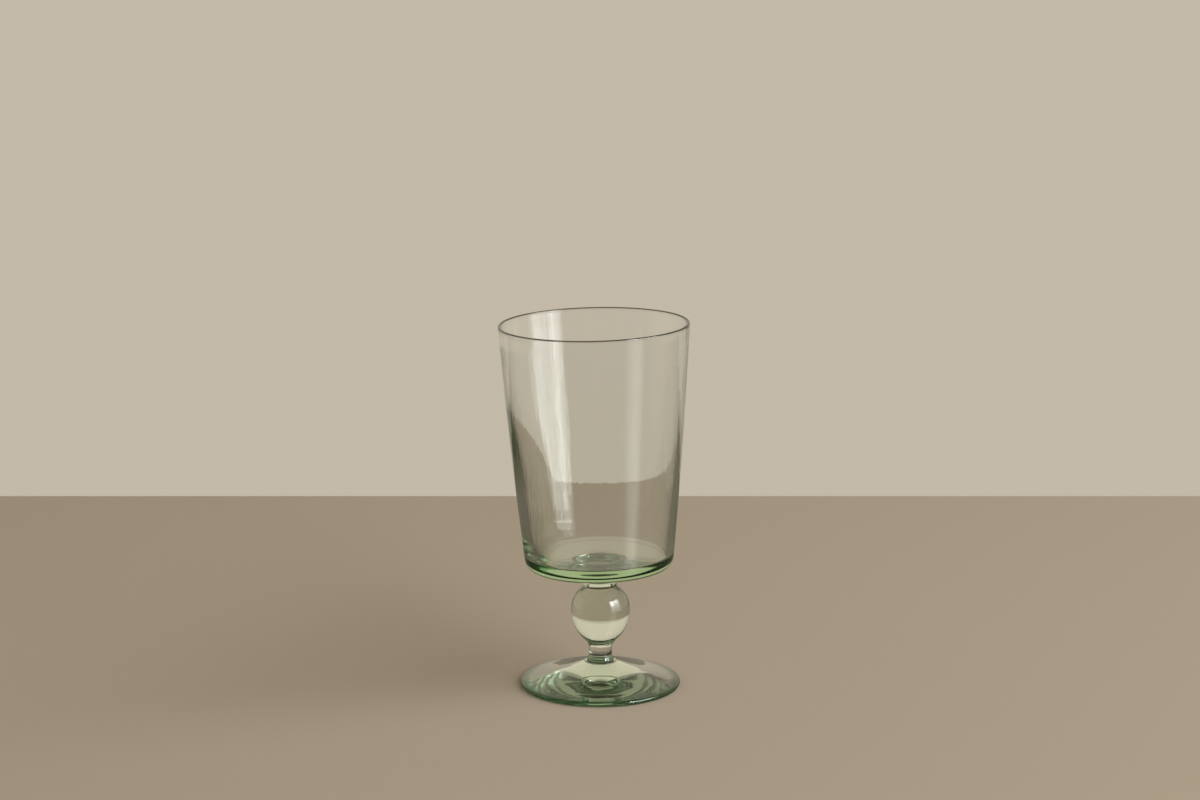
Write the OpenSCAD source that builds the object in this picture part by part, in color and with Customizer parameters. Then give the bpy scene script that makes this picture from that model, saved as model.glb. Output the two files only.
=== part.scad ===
// Water goblet of pale green hand-made glass: a tapered bowl with a thick
// base, a solid stem with a ball knop, and a low conical foot. Each of the
// three is a gather of glass of its own, and they meet face to face.
// The origin is the middle of the face that the foot rests on, +Z is up and
// the glass is seen from -Y.

/* [Foot] */
// Diameter of the foot
foot_d = 69.6; // [56:0.2:90]
// Height of the foot, from the table to the stem
foot_h = 10.2; // [8:0.2:14]
// Thickness of the foot's rounded edge
foot_edge_t = 2.2; // [1.6:0.1:3]
// How far the flank of the foot sags below a straight cone
foot_sag = 1; // [0:0.1:1.5]
// Width of the ledge of the foot around the stem's end
foot_ledge_w = 0.3; // [0.1:0.1:2]
// Width of the flat ring that the foot rests on
rest_ring_w = 3; // [1:0.1:6]
// Height of the shallow hollow under the foot
hollow_h = 0.8; // [0.5:0.1:4]

/* [Stem] */
// Height of the stem, from the foot to the bowl
stem_h = 34.2; // [29:0.2:60]
// Diameter of the ball knop
knop_d = 25.7; // [20:0.1:32]
// Diameter of the crease where the knop meets the bowl
crease_d = 14.4; // [10:0.2:15.6]
// Diameter of the waist under the knop
waist_d = 9.9; // [8:0.1:12.6]
// Height of the waist above the foot
waist_h = 5.3; // [3:0.1:8]
// Diameter of the flared end on the foot
flare_d = 13.6; // [13:0.1:18]
// Radius that rounds the edge of the flared end
flare_edge_r = 0.4; // [0.2:0.1:0.8]

/* [Bowl base] */
// Diameter of the button that joins the bowl to the knop
button_d = 16.8; // [16:0.2:24]
// Height of the button, from the knop to the underside of the bowl
button_h = 7.2; // [7.1:0.1:12]
// Height of the button's lower part, which narrows to the crease
button_cone_h = 2.6; // [0.5:0.1:2.7]
// Size of the fillet between the button and the underside
button_fillet = 4.4; // [1:0.1:4.5]
// Rise of the underside from the button to its edge
underside_rise = 1.8; // [0:0.1:4]
// Thickness of the base at its edge, from the underside to the floor
base_t = 5.2; // [3:0.1:10]
// Width of the rounded corner between the underside and the wall
base_corner_w = 3.2; // [1:0.1:6]
// Height of the rounded corner between the underside and the wall
base_corner_h = 4.4; // [1:0.1:7]
// Radius of the corner between the floor and the wall inside
floor_corner_r = 1.4; // [0.5:0.1:6]

/* [Bowl wall] */
// Height of the bowl, from the knop to the rim
bowl_h = 115.6; // [80:0.2:160]
// Outside diameter at the rim
rim_d = 82.2; // [72:0.2:100]
// Outside diameter just above the rounded corner of the base
base_d = 64.8; // [50:0.2:70]
// How far the wall bulges beyond a straight cone
wall_bulge = 0.5; // [0:0.1:3]
// Thickness of the wall at the rim
rim_t = 1.2; // [0.8:0.1:2]
// Thickness of the wall at the floor
wall_t = 3.2; // [1:0.1:4]
// Lean of the bowl to one side, in degrees, as it was made by hand
bowl_lean = 1.3; // [0:0.1:3]

/* [Hidden] */
$fn = 128;

// Points along each curve of an outline
curve_steps = 24;
// Points along each small rounded edge
edge_steps = 8;

// Where the curve of the taper under the knop is pulled to, counted from the
// waist and from the knop's middle
taper_low_share = 0.32;
taper_high_share = 0.66;
// How far up the flare its curve turns
flare_turn_share = 0.3;

foot_r = foot_d / 2;
edge_r = foot_edge_t / 2;
foot_top_r = flare_d / 2 + foot_ledge_w;
rest_outer_r = foot_r - edge_r;
rest_inner_r = rest_outer_r - rest_ring_w;

knop_r = knop_d / 2;
crease_r = crease_d / 2;
waist_r = waist_d / 2;
flare_r = flare_d / 2;
stem_z = foot_h;
waist_z = stem_z + waist_h;
bowl_z = stem_z + stem_h;
knop_z = bowl_z - sqrt(pow(knop_r, 2) - pow(crease_r, 2));
taper_h = knop_z - waist_z;

button_r = button_d / 2;
rim_r = rim_d / 2;
base_r = base_d / 2;
underside_z = bowl_z + button_h;
edge_z = underside_z + underside_rise;
floor_z = edge_z + base_t;
wall_z = edge_z + base_corner_h;
lip_z = bowl_z + bowl_h - rim_t / 2;
wall_h = lip_z - wall_z;
// Share of the wall's height at which the floor's corner ends
floor_share = (floor_z + floor_corner_r - wall_z) / wall_h;
// How far the wall leans outwards for each millimetre up, at its lower end
wall_slope = (rim_r - base_r + 4 * wall_bulge) / wall_h;
// Where the underside and the wall would meet without their rounded corner
button_corner = [button_r, underside_z];
base_corner = [base_r - wall_slope * base_corner_h, edge_z];

// An arc about [x, z] between two angles
function arc(centre, r, from, to, steps) = [
    for (i = [0 : steps])
        let (a = from + (to - from) * i / steps)
            centre + r * [cos(a), sin(a)]
];

// A curve from a to c that is drawn towards b
function bend(a, b, c, steps) = [
    for (i = [0 : steps])
        let (t = i / steps)
            pow(1 - t, 2) * a + 2 * t * (1 - t) * b + pow(t, 2) * c
];

// A curve from a to d that leaves a towards b and comes in to d from c
function sweep(a, b, c, d, steps) = [
    for (i = [0 : steps])
        let (t = i / steps, s = 1 - t)
            pow(s, 3) * a + 3 * s * s * t * b + 3 * s * t * t * c + pow(t, 3) * d
];

// The point between a and b that is a width w away from a, measured outwards
function toward(a, b, w) = a + (b - a) * w / abs(b[0] - a[0]);

// Outside and inside radius of the wall at a share of its height
function wall_out_r(share) = base_r + (rim_r - base_r) * share + 4 * wall_bulge * share * (1 - share);
function wall_in_r(share) = wall_out_r(share) - wall_t - (rim_t - wall_t) * share;

foot_outline = concat(
    bend([0, hollow_h], [rest_inner_r / 2, hollow_h], [rest_inner_r, 0], curve_steps),
    arc([rest_outer_r, edge_r], edge_r, -90, 90, edge_steps * 2),
    bend(
        [rest_outer_r, foot_edge_t],
        [(rest_outer_r + foot_top_r) / 2, (foot_edge_t + foot_h) / 2 - foot_sag * 2],
        [foot_top_r, foot_h],
        curve_steps
    ),
    [[0, foot_h]]
);

stem_outline = concat(
    [[0, stem_z]],
    arc([flare_r - flare_edge_r, stem_z + flare_edge_r], flare_edge_r, -90, 0, edge_steps),
    bend(
        [flare_r, stem_z + flare_edge_r],
        [waist_r, stem_z + waist_h * flare_turn_share],
        [waist_r, waist_z],
        edge_steps * 2
    ),
    sweep(
        [waist_r, waist_z],
        [waist_r, waist_z + taper_h * taper_low_share],
        [knop_r, knop_z - taper_h * taper_high_share],
        [knop_r, knop_z],
        curve_steps
    ),
    arc([0, knop_z], knop_r, 0, 90, curve_steps)
);

bowl_outline = concat(
    [[0, bowl_z], [crease_r, bowl_z], [button_r, bowl_z + button_cone_h]],
    bend(
        button_corner - [0, button_fillet],
        button_corner,
        toward(button_corner, base_corner, button_fillet),
        edge_steps * 2
    ),
    bend(
        toward(base_corner, button_corner, base_corner_w),
        base_corner,
        [base_r, wall_z],
        edge_steps * 2
    ),
    [for (i = [1 : curve_steps - 1]) [wall_out_r(i / curve_steps), wall_z + wall_h * i / curve_steps]],
    arc([rim_r - rim_t / 2, lip_z], rim_t / 2, 0, 180, edge_steps * 2),
    [
        for (i = [curve_steps - 1 : -1 : 1])
            let (share = floor_share + (1 - floor_share) * i / curve_steps)
                [wall_in_r(share), wall_z + wall_h * share]
    ],
    bend(
        [wall_in_r(floor_share), floor_z + floor_corner_r],
        [wall_in_r(floor_share), floor_z],
        [wall_in_r(floor_share) - floor_corner_r, floor_z],
        edge_steps * 2
    ),
    [[0, floor_z]]
);

// Leans what it holds to the left about the middle of the knop, so that the
// face on the knop stays a round one
module leaned() {
    translate([0, 0, knop_z])
        rotate([0, -bowl_lean, 0])
            translate([0, 0, -knop_z])
                children();
}

module lathe(outline) {
    rotate_extrude() polygon(outline);
}

// The bowl with its thick base and the button under it
module bowl() {
    color([0.80, 0.84, 0.76, 0.5])
        leaned() lathe(bowl_outline);
}

// The solid stem: flared end, waist and ball knop, cut off where the bowl sits
module stem() {
    color([0.62, 0.76, 0.62, 0.7])
        difference() {
            lathe(stem_outline);
            leaned() translate([0, 0, bowl_z]) cylinder(r = knop_r, h = knop_r);
        }
}

// The conical foot with a rounded edge and a shallow hollow under it
module foot() {
    color([0.55, 0.74, 0.60, 0.7])
        lathe(foot_outline);
}

bowl();
stem();
foot();
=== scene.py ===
"""Water goblet of pale green hand-made glass, seen as in the reference photograph."""

import math
from collections import namedtuple

import bmesh
import bpy
from mathutils import Matrix, Vector, noise


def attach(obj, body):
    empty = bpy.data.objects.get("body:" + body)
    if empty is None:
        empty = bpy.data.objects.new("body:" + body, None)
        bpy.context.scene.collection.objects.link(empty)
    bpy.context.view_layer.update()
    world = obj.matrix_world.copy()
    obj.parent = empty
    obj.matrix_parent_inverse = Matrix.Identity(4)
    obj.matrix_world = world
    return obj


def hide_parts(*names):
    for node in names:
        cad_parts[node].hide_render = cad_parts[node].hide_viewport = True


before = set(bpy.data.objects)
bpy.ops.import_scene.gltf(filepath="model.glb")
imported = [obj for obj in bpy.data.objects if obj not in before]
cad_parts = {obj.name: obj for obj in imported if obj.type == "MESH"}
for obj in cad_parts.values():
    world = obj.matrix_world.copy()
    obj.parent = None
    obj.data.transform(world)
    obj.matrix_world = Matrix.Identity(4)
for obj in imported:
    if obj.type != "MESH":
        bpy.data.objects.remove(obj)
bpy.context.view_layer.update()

MM = 0.001
# Lengths in millimetres that differ by less than this are the same
TOUCH = 1e-6

# Sizes of the goblet in millimetres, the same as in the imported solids
FOOT_R = 34.8
FOOT_H = 10.2
FOOT_EDGE_T = 2.2
FOOT_SAG = 1.0
FOOT_LEDGE_W = 0.3
REST_RING_W = 3.0
HOLLOW_H = 0.8

STEM_H = 34.2
KNOP_R = 12.85
CREASE_R = 7.2
WAIST_R = 4.95
WAIST_H = 5.3
FLARE_R = 6.8
FLARE_EDGE_R = 0.4
TAPER_LOW_SHARE = 0.32
TAPER_HIGH_SHARE = 0.66
FLARE_TURN_SHARE = 0.3

BUTTON_R = 8.4
BUTTON_H = 7.2
BUTTON_CONE_H = 2.6
BUTTON_FILLET = 4.4
UNDERSIDE_RISE = 1.8
BASE_T = 5.2
BASE_CORNER_W = 3.2
BASE_CORNER_H = 4.4
FLOOR_CORNER_R = 1.4

BOWL_H = 115.6
RIM_R = 41.1
BASE_R = 32.4
WALL_BULGE = 0.5
RIM_T = 1.2
WALL_T = 3.2
BOWL_LEAN = math.radians(1.3)

# Heights and places that follow from the sizes
WAIST_Z = FOOT_H + WAIST_H
BOWL_Z = FOOT_H + STEM_H
KNOP_Z = BOWL_Z - math.sqrt(KNOP_R ** 2 - CREASE_R ** 2)
KNOP_CENTRE = Vector((0, 0, KNOP_Z))
UNDERSIDE_Z = BOWL_Z + BUTTON_H
EDGE_Z = UNDERSIDE_Z + UNDERSIDE_RISE
WALL_Z = EDGE_Z + BASE_CORNER_H
RIM_Z = BOWL_Z + BOWL_H
LIP_Z = RIM_Z - RIM_T / 2

# Gaps between two fused faces, so that no two faces lie in one plane: above the foot in
# millimetres, and below the bowl in degrees along the knop's ball
SEAM_GAP = 0.02
CREASE_GAP = 0.1
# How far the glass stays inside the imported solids
SKIN = 0.02

# Points round the axis, and along the parts of the outlines
SEGMENTS = 192
SEAM_STEPS = 8
HOLLOW_STEPS = 40
REST_RING_STEPS = 4
FOOT_EDGE_STEPS = 20
FLANK_STEPS = 44
LEDGE_STEPS = 2
FLARE_EDGE_STEPS = 8
FLARE_STEPS = 24
TAPER_STEPS = 48
BALL_STEPS = 28
CONE_STEPS = 16
FILLET_STEPS = 20
UNDERSIDE_STEPS = 12
CORNER_STEPS = 24
WALL_STEPS = 90
LIP_STEPS = 16
FLOOR_CORNER_STEPS = 20
FLOOR_STEPS = 30

# Smooth bumps of the hand-made glass: how many round the axis, the length of one in millimetres
# and the place in the noise
Waves = namedtuple("Waves", "turns pitch seed")
OUTER_WAVES = Waves(7, 60, 3.1)
INNER_WAVES = Waves(11, 45, 8.7)
STEM_WAVES = Waves(5, 9, 1.3)
DRAWN_WAVES = Waves(24, 40, 7.7)
FOOT_WAVES = Waves(12, 7, 2.2)
FOOT_FINE_WAVES = Waves(40, 3, 4.4)

# The bowl's wall: depth of the bumps, where they set in above the base's corner, where they end
# below the rim, and the radius from which the outside has them
RIPPLE = 0.06
RIPPLE_START = (-2, 12)
RIPPLE_STOP = (8, 2)
RIPPLE_R = 20
# The wall is thicker inside on the left: by LEFT_EXTRA at its lower end, which fades out between
# the heights of LEFT_TOP, and by LEFT_SPARE less where it is rippled. It is so fully up to the first
# angle from the left and not at all beyond the second, on the camera's side and on the far side
LEFT_EXTRA = 1.6
LEFT_SPARE = 0.5
LEFT_FRONT = (math.radians(30), math.radians(60))
LEFT_BACK = (math.radians(20), math.radians(50))
LEFT_TOP = (88, 129)
# Radii of the bowl's floor between which the left side's extra sets in
FLOOR_FADE = (10, 27)

# The stem: depth of the bumps, height of the even part at either end, depth of the upright marks
# of the drawing, and how far above the waist these are strongest and end
STEM_RIPPLE = 0.05
STEM_EVEN_H = 2
DRAWN_DEPTH = 0.4
DRAWN_FULL = 3
DRAWN_END = 7.5

# The foot: depth of the coarse and fine marks, and where they set in outside the stem's end and
# stop inside the edge. Below REST_Z the foot rests on the table and stays flat
FOOT_RIPPLE = 0.07
FOOT_GRAIN = 0.02
MARKS_START = (1, 5)
MARKS_STOP = (6, 1.5)
REST_Z = 0.01

# Green of the glass, and how much of it each piece has
GREEN = (0.25, 0.62, 0.08, 1)
BOWL_DENSITY = 15.5
STEM_DENSITY = 9.0
FOOT_DENSITY = 15.0
GLASS_IOR = 1.5

# Painted shade: dark tints of the rim's and the crease's line and a darker green tint of the foot's edge,
# and where they show
RIM_PAINTED_SHADE = (0.10, 0.085, 0.055, 1)
EDGE_PAINTED_SHADE = (0.28, 0.46, 0.34, 1)
RIM_LINE = (-0.05, 0.25)
CREASE_LINE_W = 1.3
CREASE_LINE_SOFT = 0.2
EDGE_LINE = (5, 0.8)

# Fine relief in a surface: scale and detail of the noise, its stretch along each axis, its depth
# and the heights between which it sets in, in metres
Relief = namedtuple("Relief", "scale detail stretch depth start")
DRAW_LINES = Relief(700, 1.5, (1, 1, 0.02), 0.00003, (0.062, 0.07))
TOOL_RINGS = Relief(500, 1.5, (0.3, 0.3, 1), 0.00001, (0.004, 0.012))

# The plain stage, in metres
FLOOR_SPAN = (-0.62, 0.62, -0.62, 0.345)
FLOOR_Z = -0.0002
FLOOR_COLOUR = (0.37, 0.314, 0.245)
FLOOR_MATT = 0.9
# Share of the floor's colour and roughness of the wax, as reflections show them
MIRRORED_FLOOR = 0.38
FLOOR_SHEEN = 0.2
WALL_COLOUR = (0.55, 0.487, 0.392)
# Elevation in degrees and share of the wall's colour there: wall, lighter high wall, dark ceiling
WALL_LEVELS = ((-3.5, 1.0), (-1, 1.3), (40, 1.3), (62, 0.3))
# In reflections: light of the room on the camera's side, the directions in y between which it
# turns into the wall's, and the share of all of it from the second reflection on
ROOM = 0.12
ROOM_SIDE = (-0.45, 0.05)
DEEP_ROOM = 0.5

# The light panel: azimuth in degrees to the right of the camera's side, distance, width, heights,
# glow, and glow as seen through the glass
KEY_AZIMUTH = 66
KEY_FAR = 1.6
KEY_WIDTH = 3.0
KEY_SPAN_Z = (0.4, 2.6)
KEY_LEVEL = 4.0
KEY_THROUGH = 0.8

# The window that only reflections show. Each half: from and to azimuth, share of its glow from the
# second reflection on, and glow by height in metres
WINDOW_FAR = 4.0
WINDOW_SPAN_Z = (-0.4, 3.2)
Window = namedtuple("Window", "start end deep_share levels")
WINDOWS = (
    Window(39, 66, 0.7, ((-0.4, 5.6), (-0.2, 5.6), (-0.06, 3.5), (0.25, 2.9),
                         (0.9, 5), (1.5, 10), (1.8, 17), (3.2, 17))),
    Window(56, 92, 0, ((-0.4, 5), (-0.2, 5), (-0.06, 3.2), (0.25, 2.7),
                       (0.9, 5), (1.6, 8), (1.8, 14), (3.2, 14))),
)
DAYLIGHT = (0.97, 0.99, 1.0, 1)
# Upright folds of its curtain: scale and detail of the noise, the part of it in use and its depth
FOLD_SCALE = 6.0
FOLD_DETAIL = 3
FOLD_SPAN = (0.35, 0.65)
FOLD_DEPTH = 0.9
# Share of its width over which either side fades out
SOFT_SHARE = 0.3

# The camera as worked out from the photograph: place and nearest distance in metres, tilt down in
# degrees, lens and width of the frame in millimetres
CAMERA_PLACE = (-0.0002, -1.1896, 0.3751)
CAMERA_TILT = 11.8
CAMERA_LENS = 85
CAMERA_SENSOR = 36
CAMERA_CLIP = 0.01
# Light is reflected inside thick glass many times before it leaves
BOUNCES = 64


def arc(centre, radius, start, end, steps):
    """Points about a centre between two angles in degrees."""
    points = []
    for i in range(steps + 1):
        a = math.radians(start + (end - start) * i / steps)
        points.append((centre[0] + radius * math.cos(a), centre[1] + radius * math.sin(a)))
    return points


def curve(controls, steps):
    """Points along the Bezier curve with these control points."""
    points = []
    for i in range(steps + 1):
        layer = [Vector(c) for c in controls]
        while len(layer) > 1:
            layer = [a.lerp(b, i / steps) for a, b in zip(layer, layer[1:])]
        points.append(tuple(layer[0]))
    return points


def line(start, end, steps):
    return curve([start, end], steps)


def toward(start, end, width):
    """The point on the line from start to end that lies width further out."""
    share = width / abs(end[0] - start[0])
    return (start[0] + (end[0] - start[0]) * share, start[1] + (end[1] - start[1]) * share)


def seam_disc(radius, z):
    """Rings of a flat round face from just inside its rim to the middle."""
    return [(radius * (1 - i / SEAM_STEPS), z) for i in range(1, SEAM_STEPS)] + [(0, z)]


def foot_outline():
    edge = FOOT_EDGE_T / 2
    top_r = FLARE_R + FOOT_LEDGE_W
    seam_r = FLARE_R - FLARE_EDGE_R
    rest_r = FOOT_R - edge
    hollow_r = rest_r - REST_RING_W
    flank_turn = ((rest_r + top_r) / 2, (FOOT_EDGE_T + FOOT_H) / 2 - 2 * FOOT_SAG)
    hollow = curve([(0, HOLLOW_H), (hollow_r / 2, HOLLOW_H), (hollow_r, 0)], HOLLOW_STEPS)
    ring = line((hollow_r, 0), (rest_r, 0), REST_RING_STEPS)
    rounded = arc((rest_r, edge), edge, -90, 90, FOOT_EDGE_STEPS)
    flank = curve([(rest_r, FOOT_EDGE_T), flank_turn, (top_r, FOOT_H)], FLANK_STEPS)
    ledge = line((top_r, FOOT_H), (seam_r, FOOT_H), LEDGE_STEPS)
    return hollow + ring[1:] + rounded[1:] + flank[1:] + ledge[1:] + seam_disc(seam_r, FOOT_H)


def stem_outline():
    low = FOOT_H + SEAM_GAP
    seam_r = FLARE_R - FLARE_EDGE_R
    taper_h = KNOP_Z - WAIST_Z
    disc = seam_disc(seam_r, low)[::-1]
    edge = arc((seam_r, low + FLARE_EDGE_R), FLARE_EDGE_R, -90, 0, FLARE_EDGE_STEPS)
    flare = curve([(FLARE_R, low + FLARE_EDGE_R), (WAIST_R, FOOT_H + WAIST_H * FLARE_TURN_SHARE),
                   (WAIST_R, WAIST_Z)], FLARE_STEPS)
    taper = curve([(WAIST_R, WAIST_Z), (WAIST_R, WAIST_Z + taper_h * TAPER_LOW_SHARE),
                   (KNOP_R, KNOP_Z - taper_h * TAPER_HIGH_SHARE), (KNOP_R, KNOP_Z)], TAPER_STEPS)
    crease = math.degrees(math.acos(CREASE_R / KNOP_R)) - CREASE_GAP
    ball = arc((0, KNOP_Z), KNOP_R, 0, crease, BALL_STEPS)
    return disc + [(seam_r, low)] + edge[1:] + flare[1:] + taper[1:] + ball[1:] + seam_disc(*ball[-1])


def wall_out_r(share):
    return BASE_R + (RIM_R - BASE_R) * share + 4 * WALL_BULGE * share * (1 - share)


def wall_in_r(share):
    return wall_out_r(share) - WALL_T - (RIM_T - WALL_T) * share


def bowl_outline():
    floor_z = EDGE_Z + BASE_T
    wall_h = LIP_Z - WALL_Z
    slope = (RIM_R - BASE_R + 4 * WALL_BULGE) / wall_h
    button_corner = (BUTTON_R, UNDERSIDE_Z)
    base_corner = (BASE_R - slope * BASE_CORNER_H, EDGE_Z)
    floor_share = (floor_z + FLOOR_CORNER_R - WALL_Z) / wall_h
    inner_r = wall_in_r(floor_share)
    floor_r = inner_r - FLOOR_CORNER_R
    fillet_end = toward(button_corner, base_corner, BUTTON_FILLET)
    corner_start = toward(base_corner, button_corner, BASE_CORNER_W)

    disc = seam_disc(CREASE_R, BOWL_Z)[::-1]
    cone = line((CREASE_R, BOWL_Z), (BUTTON_R, BOWL_Z + BUTTON_CONE_H), CONE_STEPS)
    fillet = curve([(BUTTON_R, UNDERSIDE_Z - BUTTON_FILLET), button_corner, fillet_end], FILLET_STEPS)
    under = line(fillet_end, corner_start, UNDERSIDE_STEPS)
    corner = curve([corner_start, base_corner, (BASE_R, WALL_Z)], CORNER_STEPS)
    rise = [i / WALL_STEPS for i in range(1, WALL_STEPS + 1)]
    outside = [(wall_out_r(share), WALL_Z + wall_h * share) for share in rise]
    lip = arc((RIM_R - RIM_T / 2, LIP_Z), RIM_T / 2, 0, 180, LIP_STEPS)
    fall = [floor_share + (1 - floor_share) * i / WALL_STEPS for i in range(WALL_STEPS - 1, 0, -1)]
    inside = [(wall_in_r(share), WALL_Z + wall_h * share) for share in fall]
    floor_corner = curve([(inner_r, floor_z + FLOOR_CORNER_R), (inner_r, floor_z), (floor_r, floor_z)],
                         FLOOR_CORNER_STEPS)
    floor = [(floor_r * (1 - i / FLOOR_STEPS), floor_z) for i in range(1, FLOOR_STEPS)] + [(0, floor_z)]
    return disc + cone + fillet + under[1:] + corner[1:] + outside + lip[1:] + inside + floor_corner + floor


def lathe(name, outline, seams, material, node, uneven, painted_shade_at, deform=None):
    """Turns an outline about the axis into a closed mesh that stands for one CAD node.

    Faces that lie flat within one of the seams, given as radius and height, are marked as fused.
    The function uneven gives the radius and height of outline point k at an angle,
    and painted_shade_at how much painted shade darkens the glass at a radius and height."""
    bm = bmesh.new()
    seam = bm.faces.layers.float.new("seam")
    # Share of painted shade at each point: the dark lines at rim and crease, and the darker foot edge
    painted_shade = bm.verts.layers.float.new("painted_shade")
    rings = []
    for k, (r, z) in enumerate(outline):
        if r <= TOUCH:
            rings.append([bm.verts.new((0, 0, z))])
            continue
        ring = []
        for i in range(SEGMENTS):
            a = 2 * math.pi * i / SEGMENTS
            near_r, near_z = uneven(k, r, z, a)
            vert = bm.verts.new((near_r * math.cos(a), near_r * math.sin(a), near_z))
            vert[painted_shade] = painted_shade_at(r, z)
            ring.append(vert)
        rings.append(ring)
    for (lower, upper), (p, q) in zip(zip(rings, rings[1:]), zip(outline, outline[1:])):
        fused = any(max(abs(p[1] - z), abs(q[1] - z)) < TOUCH and max(p[0], q[0]) <= r + TOUCH
                    for r, z in seams)
        for i in range(SEGMENTS):
            j = (i + 1) % SEGMENTS
            if len(lower) == 1:
                corners = [lower[0], upper[j], upper[i]]
            elif len(upper) == 1:
                corners = [lower[i], lower[j], upper[0]]
            else:
                corners = [lower[i], lower[j], upper[j], upper[i]]
            face = bm.faces.new(corners)
            face[seam] = 1.0 if fused else 0.0
            face.smooth = not fused
    for v in bm.verts:
        if deform:
            v.co = deform(v.co)
        v.co *= MM
    bmesh.ops.recalc_face_normals(bm, faces=bm.faces)
    for edge in bm.edges:
        if len({face.smooth for face in edge.link_faces}) == 2:
            edge.smooth = False
    mesh = bpy.data.meshes.new(name)
    bm.to_mesh(mesh)
    bm.free()
    mesh.materials.append(material)
    piece = bpy.data.objects.new(name, mesh)
    bpy.context.scene.collection.objects.link(piece)
    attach(piece, "root")
    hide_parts(node)


def leaned(point, share=1.0):
    """The point turned to the left about the middle of the knop, by a share of the lean."""
    return KNOP_CENTRE + Matrix.Rotation(-BOWL_LEAN * share, 3, "Y") @ (point - KNOP_CENTRE)


def lean_of_stem(point):
    """The upper half of the knop turns towards the bowl's lean; as it is a ball, its shape stays."""
    share = min(max((point.z - KNOP_Z) / (BOWL_Z - KNOP_Z), 0.0), 1.0)
    return leaned(point, share)


def smooth_step(low, high, value):
    """0 up to low, 1 from high on, and smooth in between."""
    share = min(max((value - low) / (high - low), 0.0), 1.0)
    return share * share * (3 - 2 * share)


def ripple(waves, angle, along):
    """Smooth noise from -1 to 1 that closes round the axis."""
    reach = waves.turns / (2 * math.pi)
    place = Vector((reach * math.cos(angle), reach * math.sin(angle), along / waves.pitch))
    return noise.noise(place + Vector((waves.seed, 0, 0)))


def uneven_bowl(outline):
    """The blown wall: softly rippled, and thicker on its left side low down."""
    lip = max(range(len(outline)), key=lambda k: outline[k][1])

    def uneven(k, r, z, angle):
        wall = smooth_step(WALL_Z + RIPPLE_START[0], WALL_Z + RIPPLE_START[1], z)
        wall *= 1 - smooth_step(RIM_Z - RIPPLE_STOP[0], RIM_Z - RIPPLE_STOP[1], z)
        out = r - SKIN
        if r > RIPPLE_R:
            out -= RIPPLE * wall * (1 + ripple(OUTER_WAVES, angle, z)) / 2
        if k > lip:
            full, end = LEFT_BACK if math.sin(angle) > 0 else LEFT_FRONT
            heavy = smooth_step(math.cos(end), math.cos(full), -math.cos(angle))
            high = 1 - smooth_step(*LEFT_TOP, z)
            out -= (LEFT_EXTRA * high - LEFT_SPARE * wall) * heavy * smooth_step(*FLOOR_FADE, r)
            out -= RIPPLE * wall * (1 + ripple(INNER_WAVES, angle, z)) / 2
        return out, z

    return uneven


def uneven_stem(k, r, z, angle):
    """Softly uneven, with upright marks of the drawing just above the waist."""
    free = smooth_step(FOOT_H, FOOT_H + STEM_EVEN_H, z)
    free *= 1 - smooth_step(BOWL_Z - STEM_EVEN_H, BOWL_Z, z)
    drawn = smooth_step(WAIST_Z, WAIST_Z + DRAWN_FULL, z)
    drawn *= 1 - smooth_step(WAIST_Z + DRAWN_FULL, WAIST_Z + DRAWN_END, z)
    out = r - SKIN - STEM_RIPPLE * free * (1 + ripple(STEM_WAVES, angle, z)) / 2
    return out - DRAWN_DEPTH * drawn * (1 + ripple(DRAWN_WAVES, angle, z)) / 2, z


def uneven_foot(k, r, z, angle):
    """The flank and the hollow carry the irregular marks of the tool that spread the foot."""
    if z < REST_Z:
        return r - SKIN, z
    free = smooth_step(FLARE_R + MARKS_START[0], FLARE_R + MARKS_START[1], r)
    free *= 1 - smooth_step(FOOT_R - MARKS_STOP[0], FOOT_R - MARKS_STOP[1], r)
    marks = FOOT_RIPPLE * ripple(FOOT_WAVES, angle, r) + FOOT_GRAIN * ripple(FOOT_FINE_WAVES, angle, r)
    return r - SKIN, max(z + free * marks, 0)


def painted_shade_bowl(r, z):
    """Painted shade: the rim's dark line, and the dark line at the crease where the button meets the knop.
    """
    rim = smooth_step(LIP_Z + RIM_LINE[0], LIP_Z + RIM_LINE[1], z)
    crease = smooth_step(CREASE_R - CREASE_LINE_SOFT, CREASE_R, r)
    return rim + crease * (1 - smooth_step(CREASE_LINE_W / 2, CREASE_LINE_W, z - BOWL_Z))


# Painted shade: the glass turns a darker green towards the foot's edge
def painted_shade_foot(r, z):
    return smooth_step(FOOT_R - EDGE_LINE[0], FOOT_R - EDGE_LINE[1], r)


# No painted shade anywhere
def no_painted_shade(r, z):
    return 0.0


def add_node(tree, kind, inputs=None, **settings):
    """A new shader node. Each input is set to a value, or linked to another node's output."""
    made = tree.nodes.new(kind)
    for name, value in settings.items():
        setattr(made, name, value)
    for key, value in (inputs or {}).items():
        if isinstance(value, bpy.types.NodeSocket):
            tree.links.new(value, made.inputs[key])
        else:
            made.inputs[key].default_value = value
    return made


def calculate(tree, operation, first, second):
    return add_node(tree, "ShaderNodeMath", {0: first, 1: second}, operation=operation).outputs["Value"]


def in_reflections(tree):
    """1 for what is seen in a reflection, 0 for what is seen directly or through glass."""
    path = add_node(tree, "ShaderNodeLightPath")
    return calculate(tree, "GREATER_THAN", path.outputs["Glossy Depth"], 0.5)


def in_deeper_reflections(tree, share):
    """1 up to the first reflection, and share from the second one on."""
    path = add_node(tree, "ShaderNodeLightPath")
    deep = add_node(tree, "ShaderNodeMapRange", {
        "Value": path.outputs["Glossy Depth"], "From Min": 1, "From Max": 2, "To Min": 1, "To Max": share})
    return deep.outputs["Result"]


def bare_material(name):
    """A material and its node tree, which holds no nodes yet."""
    material = bpy.data.materials.new(name)
    material.use_nodes = True
    material.node_tree.nodes.clear()
    return material, material.node_tree


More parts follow.
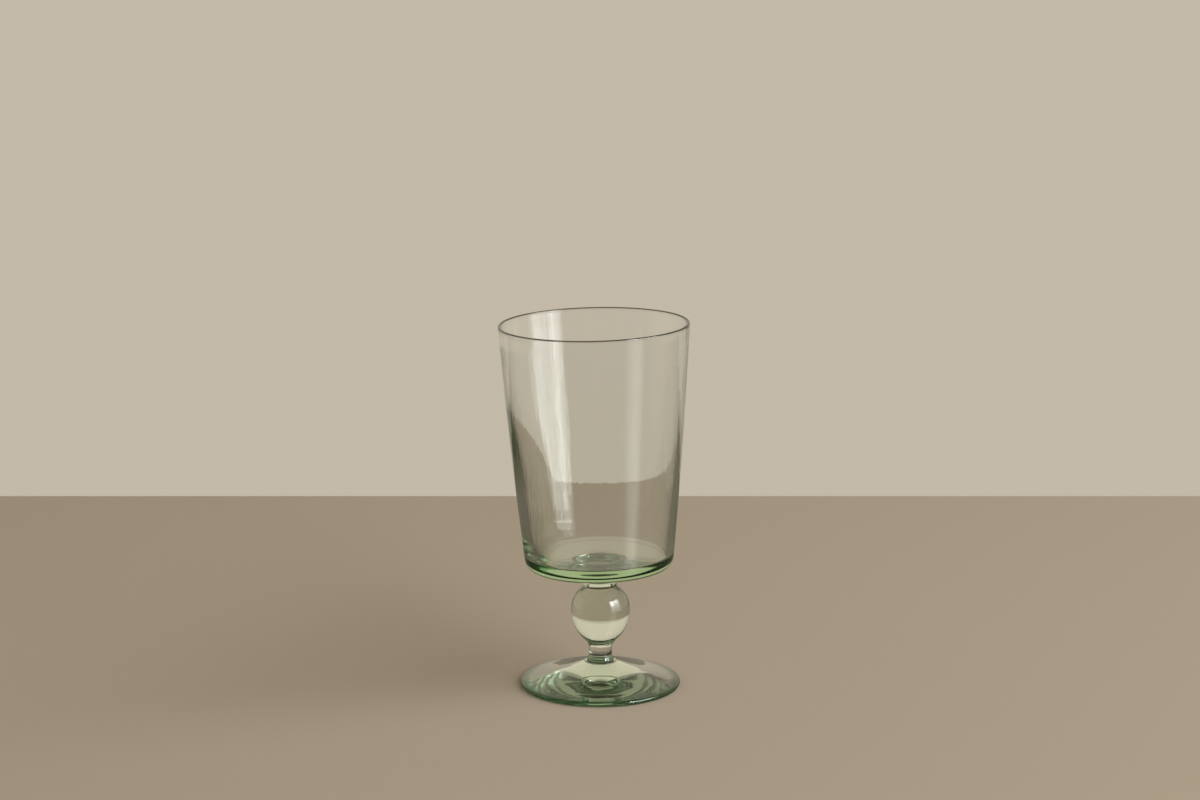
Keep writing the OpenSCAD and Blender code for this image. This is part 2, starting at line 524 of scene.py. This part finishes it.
def glass(name, density, relief, painted_shade_colour):
    """Clear glass that is green where it is thick, its colour darkened where the painted_shade attribute
    puts painted shade. Fused faces don't bend or reflect light.
    """
    material, tree = bare_material(name)
    place = add_node(tree, "ShaderNodeTexCoord").outputs["Object"]
    parts = add_node(tree, "ShaderNodeSeparateXYZ", {"Vector": place})
    stretch = add_node(tree, "ShaderNodeMapping", {"Vector": place, "Scale": relief.stretch})
    lines = add_node(tree, "ShaderNodeTexNoise", {
        "Vector": stretch.outputs["Vector"], "Scale": relief.scale, "Detail": relief.detail})
    start = add_node(tree, "ShaderNodeMapRange", {
        "Value": parts.outputs["Z"], "From Min": relief.start[0], "From Max": relief.start[1]},
        interpolation_type="SMOOTHSTEP")
    bump = add_node(tree, "ShaderNodeBump", {
        "Height": lines.outputs["Fac"], "Strength": start.outputs["Result"], "Distance": relief.depth})
    # Painted shade: the dark lines and the darker foot edge are mixed into the base colour
    edge = add_node(tree, "ShaderNodeAttribute", attribute_name="painted_shade")
    shaded_colour = add_node(tree, "ShaderNodeMix", {
        "Factor": edge.outputs["Fac"], "A": (1, 1, 1, 1), "B": painted_shade_colour}, data_type="RGBA")
    seam = add_node(tree, "ShaderNodeAttribute", attribute_name="seam")
    ior = add_node(tree, "ShaderNodeMapRange", {
        "Value": seam.outputs["Fac"], "To Min": GLASS_IOR, "To Max": 1.0})
    shader = add_node(tree, "ShaderNodeBsdfPrincipled", {
        "Base Color": shaded_colour.outputs["Result"], "Normal": bump.outputs["Normal"],
        "IOR": ior.outputs["Result"], "Roughness": 0.0, "Transmission Weight": 1.0})
    volume = add_node(tree, "ShaderNodeVolumeAbsorption", {"Color": GREEN, "Density": density})
    add_node(tree, "ShaderNodeOutputMaterial", {
        "Surface": shader.outputs["BSDF"], "Volume": volume.outputs["Volume"]})
    return material


def around(azimuth, distance, z):
    """The place at an azimuth in degrees to the right of the camera's side."""
    turn = math.radians(azimuth)
    return (distance * math.sin(turn), -distance * math.cos(turn), z)


def card(name, corners, material):
    """A flat stage card that neither the camera nor the floor sees, and that casts no shadow.

    Its attribute across goes from 0 at the first and last corner to 1 at the two between."""
    mesh = bpy.data.meshes.new(name)
    mesh.from_pydata(corners, [], [(0, 1, 2, 3)])
    across = mesh.attributes.new("across", "FLOAT", "POINT")
    across.data.foreach_set("value", (0, 1, 1, 0))
    mesh.materials.append(material)
    obj = bpy.data.objects.new(name, mesh)
    bpy.context.scene.collection.objects.link(obj)
    obj.visible_camera = False
    obj.visible_diffuse = False
    obj.visible_shadow = False
    return obj


def light_panel():
    """A large upright panel that lights goblet and floor. It isn't seen directly or in reflections, and
    only dimly through glass.
    """
    material, tree = bare_material("key")
    path = add_node(tree, "ShaderNodeLightPath")
    direct = calculate(tree, "LESS_THAN", path.outputs["Diffuse Depth"], 0.5)
    through = calculate(tree, "MULTIPLY", path.outputs["Is Transmission Ray"], direct)
    strength = add_node(tree, "ShaderNodeMapRange", {
        "Value": through, "To Min": KEY_LEVEL, "To Max": KEY_THROUGH})
    glow = add_node(tree, "ShaderNodeEmission", {"Strength": strength.outputs["Result"]})
    add_node(tree, "ShaderNodeOutputMaterial", {"Surface": glow.outputs["Emission"]})
    middle = Vector(around(KEY_AZIMUTH, KEY_FAR, 0))
    aside = Vector(around(KEY_AZIMUTH + 90, KEY_WIDTH / 2, 0))
    low, high = KEY_SPAN_Z
    corners = [middle + aside * side + Vector((0, 0, z))
               for side, z in ((-1, low), (1, low), (1, high), (-1, high))]
    panel = card("key", corners, material)
    panel.visible_diffuse = True
    panel.visible_glossy = False


def mirrored_glow(name, levels, deep_share):
    """Glow that only a reflection shows, graded by height; of it, deeper reflections show a share."""
    material, tree = bare_material(name)
    material.cycles.emission_sampling = "NONE"
    low, high = WINDOW_SPAN_Z
    top = max(level for z, level in levels)
    place = add_node(tree, "ShaderNodeTexCoord").outputs["Object"]
    parts = add_node(tree, "ShaderNodeSeparateXYZ", {"Vector": place})
    span = add_node(tree, "ShaderNodeMapRange", {
        "Value": parts.outputs["Z"], "From Min": low, "From Max": high})
    graded = add_node(tree, "ShaderNodeFloatCurve", {"Value": span.outputs["Result"]})
    points = graded.mapping.curves[0].points
    while len(points) < len(levels):
        points.new(0.5, 0.5)
    for point, (z, level) in zip(points, levels):
        point.location = ((z - low) / (high - low), level / top)
        point.handle_type = "VECTOR"
    graded.mapping.update()
    upright = add_node(tree, "ShaderNodeMapping", {"Vector": place, "Scale": (1, 1, 0)})
    folds = add_node(tree, "ShaderNodeTexNoise", {
        "Vector": upright.outputs["Vector"], "Scale": FOLD_SCALE, "Detail": FOLD_DETAIL})
    shade = add_node(tree, "ShaderNodeMapRange", {
        "Value": folds.outputs["Fac"], "From Min": FOLD_SPAN[0], "From Max": FOLD_SPAN[1],
        "To Min": top * (1 - FOLD_DEPTH / 2), "To Max": top * (1 + FOLD_DEPTH / 2)})
    strength = calculate(tree, "MULTIPLY", graded.outputs["Value"], shade.outputs["Result"])
    glow = add_node(tree, "ShaderNodeEmission", {"Color": DAYLIGHT, "Strength": strength})
    across = add_node(tree, "ShaderNodeAttribute", attribute_name="across")
    soft = add_node(tree, "ShaderNodeValToRGB", {"Fac": across.outputs["Fac"]})
    soft.color_ramp.interpolation = "EASE"
    for end in soft.color_ramp.elements:
        end.color = (0, 0, 0, 1)
    for position in (SOFT_SHARE, 1 - SOFT_SHARE):
        soft.color_ramp.elements.new(position).color = (1, 1, 1, 1)
    seen = calculate(tree, "MULTIPLY", in_reflections(tree), in_deeper_reflections(tree, deep_share))
    faded = calculate(tree, "MULTIPLY", seen, soft.outputs["Color"])
    clear = add_node(tree, "ShaderNodeBsdfTransparent")
    mix = add_node(tree, "ShaderNodeMixShader", {
        0: faded, 1: clear.outputs["BSDF"], 2: glow.outputs["Emission"]})
    add_node(tree, "ShaderNodeOutputMaterial", {"Surface": mix.outputs["Shader"]})
    return material


def window_half(i, window):
    start, end, deep_share, levels = window
    far = WINDOW_FAR / math.cos(math.radians((end - start) / 2))
    low, high = WINDOW_SPAN_Z
    card(f"window_{i}", [around(start, far, low), around(end, far, low),
                         around(end, far, high), around(start, far, high)],
         mirrored_glow(f"window_glow_{i}", levels, deep_share))


def floor_paint():
    """Matt to the eye, and glossy where the goblet mirrors it, as a waxed table is."""
    material, tree = bare_material("floor_paint")
    matt = add_node(tree, "ShaderNodeBsdfPrincipled", {
        "Base Color": (*FLOOR_COLOUR, 1), "Roughness": FLOOR_MATT, "Specular IOR Level": 0})
    waxed = add_node(tree, "ShaderNodeBsdfPrincipled", {
        "Base Color": tuple(c * MIRRORED_FLOOR for c in FLOOR_COLOUR) + (1,), "Roughness": FLOOR_SHEEN})
    mix = add_node(tree, "ShaderNodeMixShader", {
        0: in_reflections(tree), 1: matt.outputs["BSDF"], 2: waxed.outputs["BSDF"]})
    add_node(tree, "ShaderNodeOutputMaterial", {"Surface": mix.outputs["Shader"]})
    return material


def studio_floor():
    left, right, front, back = FLOOR_SPAN
    mesh = bpy.data.meshes.new("floor")
    mesh.from_pydata([(left, front, 0), (right, front, 0), (right, back, 0), (left, back, 0)], [],
                     [(0, 1, 2, 3)])
    mesh.materials.append(floor_paint())
    floor = bpy.data.objects.new("floor", mesh)
    bpy.context.scene.collection.objects.link(floor)
    floor.location.z = FLOOR_Z


def room_light():
    """A pale wall all round, lighter high up, and a darker ceiling.

    Reflections see a dim room on the camera's side, and a dimmer one from the second reflection on."""
    world = bpy.data.worlds.new("studio")
    bpy.context.scene.world = world
    world.use_nodes = True
    tree = world.node_tree
    place = add_node(tree, "ShaderNodeTexCoord")
    parts = add_node(tree, "ShaderNodeSeparateXYZ", {"Vector": place.outputs["Generated"]})
    height = add_node(tree, "ShaderNodeMapRange", {"Value": parts.outputs["Z"], "From Min": -1})
    ramp = add_node(tree, "ShaderNodeValToRGB", {"Fac": height.outputs["Result"]})
    stops = ramp.color_ramp.elements
    stops.remove(stops[1])
    for i, (elevation, share) in enumerate(WALL_LEVELS):
        position = (1 + math.sin(math.radians(elevation))) / 2
        stop = stops.new(position) if i else stops[0]
        stop.position = position
        stop.color = tuple(c * share for c in WALL_COLOUR) + (1,)
    side = add_node(tree, "ShaderNodeMapRange", {
        "Value": parts.outputs["Y"], "From Min": ROOM_SIDE[0], "From Max": ROOM_SIDE[1],
        "To Min": ROOM, "To Max": 1.0}, interpolation_type="SMOOTHSTEP")
    dim = calculate(tree, "MULTIPLY", side.outputs["Result"], in_deeper_reflections(tree, DEEP_ROOM))
    level = add_node(tree, "ShaderNodeMix", {"Factor": in_reflections(tree), "A": 1.0, "B": dim})
    background = tree.nodes["Background"]
    tree.links.new(ramp.outputs["Color"], background.inputs["Color"])
    tree.links.new(level.outputs["Result"], background.inputs["Strength"])


def camera():
    data = bpy.data.cameras.new("camera")
    data.lens = CAMERA_LENS
    data.sensor_width = CAMERA_SENSOR
    data.clip_start = CAMERA_CLIP
    cam = bpy.data.objects.new("camera", data)
    bpy.context.scene.collection.objects.link(cam)
    cam.location = CAMERA_PLACE
    cam.rotation_euler = (math.radians(90 - CAMERA_TILT), 0, 0)
    bpy.context.scene.camera = cam


camera()
bowl_line = bowl_outline()
stem_line = stem_outline()
foot_line = foot_outline()
bowl_glass = glass("bowl_glass", BOWL_DENSITY, DRAW_LINES, RIM_PAINTED_SHADE)
stem_glass = glass("stem_glass", STEM_DENSITY, TOOL_RINGS, EDGE_PAINTED_SHADE)
foot_glass = glass("foot_glass", FOOT_DENSITY, TOOL_RINGS, EDGE_PAINTED_SHADE)
lathe("bowl_glass", bowl_line, [(CREASE_R, BOWL_Z)], bowl_glass, "bowl", uneven_bowl(bowl_line),
      painted_shade_bowl, leaned)
lathe("stem_glass", stem_line, [(FLARE_R, FOOT_H + SEAM_GAP), (KNOP_R, stem_line[-1][1])], stem_glass,
      "stem", uneven_stem, no_painted_shade, lean_of_stem)
lathe("foot_glass", foot_line, [(FLARE_R - FLARE_EDGE_R, FOOT_H)], foot_glass, "foot", uneven_foot,
      painted_shade_foot)
studio_floor()
room_light()
light_panel()
for i, window in enumerate(WINDOWS):
    window_half(i, window)

scene = bpy.context.scene
scene.view_settings.view_transform = "Standard"
scene.cycles.max_bounces = BOUNCES
scene.cycles.transmission_bounces = BOUNCES
scene.cycles.glossy_bounces = BOUNCES
